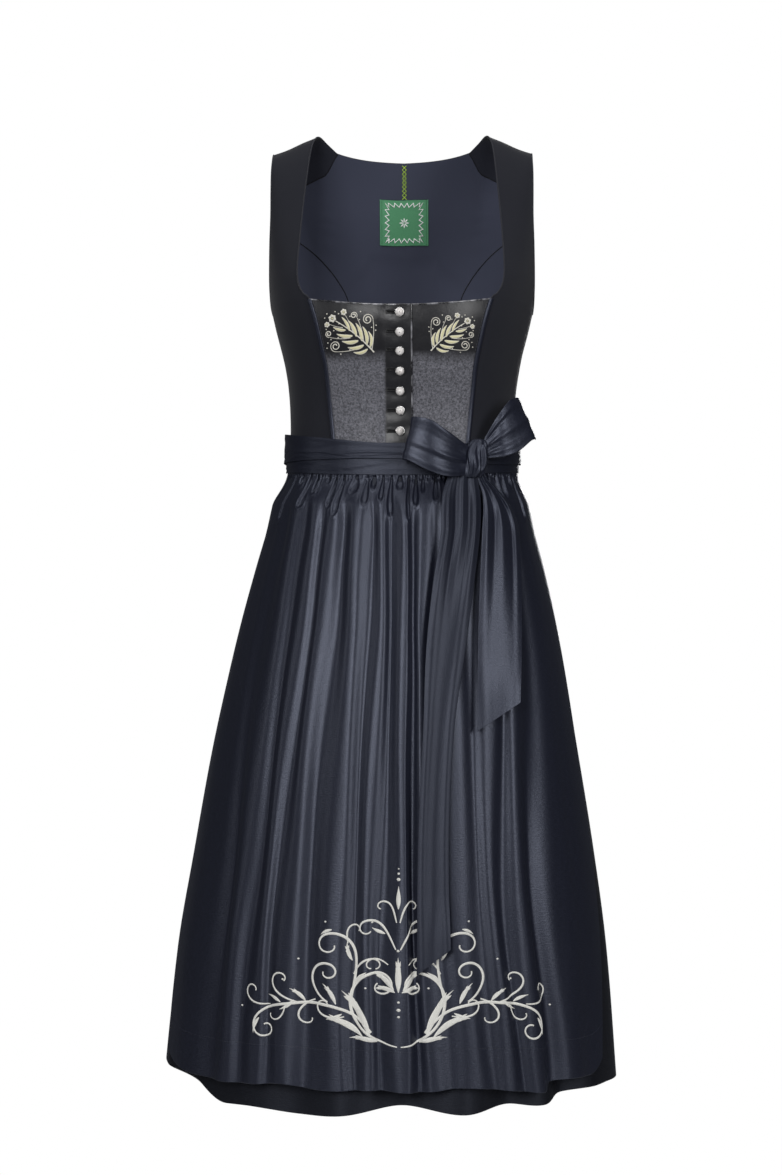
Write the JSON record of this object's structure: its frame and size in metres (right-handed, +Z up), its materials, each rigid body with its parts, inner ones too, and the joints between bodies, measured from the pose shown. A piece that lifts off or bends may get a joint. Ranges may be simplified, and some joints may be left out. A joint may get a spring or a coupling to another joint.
{
  "type": "dirndl",
  "caption": "Midi dirndl dress with wide-strap bodice, leather fronts closed by ball buttons, gathered skirt and gathered apron tied in a bow at the left hip.",
  "frame": {"origin": "midway between the two shoulder ridges, where the dress hangs on its wearer", "axes": "+Z up along the body, front towards -Y, the wearer's left towards +X"},
  "size_m": [0.5026, 0.3925, 1.054],
  "materials": {
    "stretch_cloth": "matt navy",
    "leather": "soft sheen",
    "satin": "satin sheen",
    "skirt_satin": "dull satin",
    "pearl": "pearl in a metal rim",
    "label_cloth": "woven"
  },
  "bodies": {
    "root": {"front_panel_left": "stretch_cloth", "front_panel_right": "stretch_cloth", "side_back_left": "stretch_cloth", "side_back_right": "stretch_cloth", "back_panel": "stretch_cloth", "leather_front_left": "leather", "leather_front_right": "leather", "leather_piping_left": "satin", "leather_piping_right": "satin", "apron": "satin", "apron_waistband": "satin", "waist_tie": "satin", "tie_end_long": "satin", "tie_end_short": "satin", "bow_loop_left": "satin", "bow_loop_right": "satin", "bow_knot": "satin", "skirt_front": "skirt_satin", "skirt_back": "skirt_satin", "button_1": "pearl", "button_2": "pearl", "button_3": "pearl", "button_4": "pearl", "button_5": "pearl", "button_6": "pearl", "button_7": "pearl", "label": "label_cloth"}
  },
  "joints": []
}
